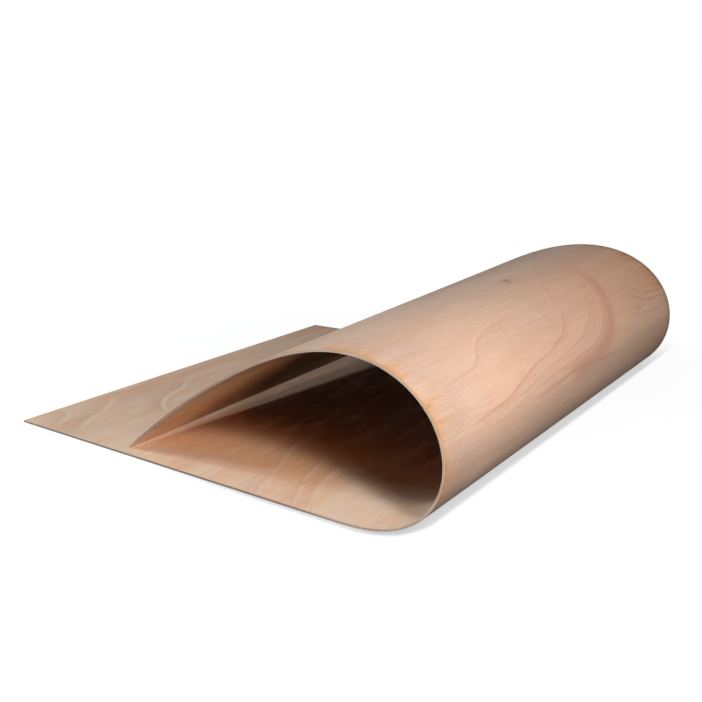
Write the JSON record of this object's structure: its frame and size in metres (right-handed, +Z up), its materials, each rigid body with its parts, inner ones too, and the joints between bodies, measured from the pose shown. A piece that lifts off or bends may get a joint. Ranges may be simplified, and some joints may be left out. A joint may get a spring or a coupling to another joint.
{
  "type": "flexible plywood sheet",
  "caption": "Thin sheet of bendable plywood lying flat at one end and curled back over itself in a teardrop, so that its free edge rests on its own flat run.",
  "frame": {"origin": "on the floor, under the middle of the curled sheet's bounding box", "axes": "+Z up from the floor; +X along the sheet's length, from the flat run's end towards the curl; -Y is the end of the curl whose free edge rests on the sheet, +Y the end where it stands clear"},
  "size_m": [1.2924, 1.2454, 0.3729],
  "materials": {
    "veneer": "matte"
  },
  "bodies": {
    "root": {"plywood_sheet": "veneer"}
  },
  "joints": []
}
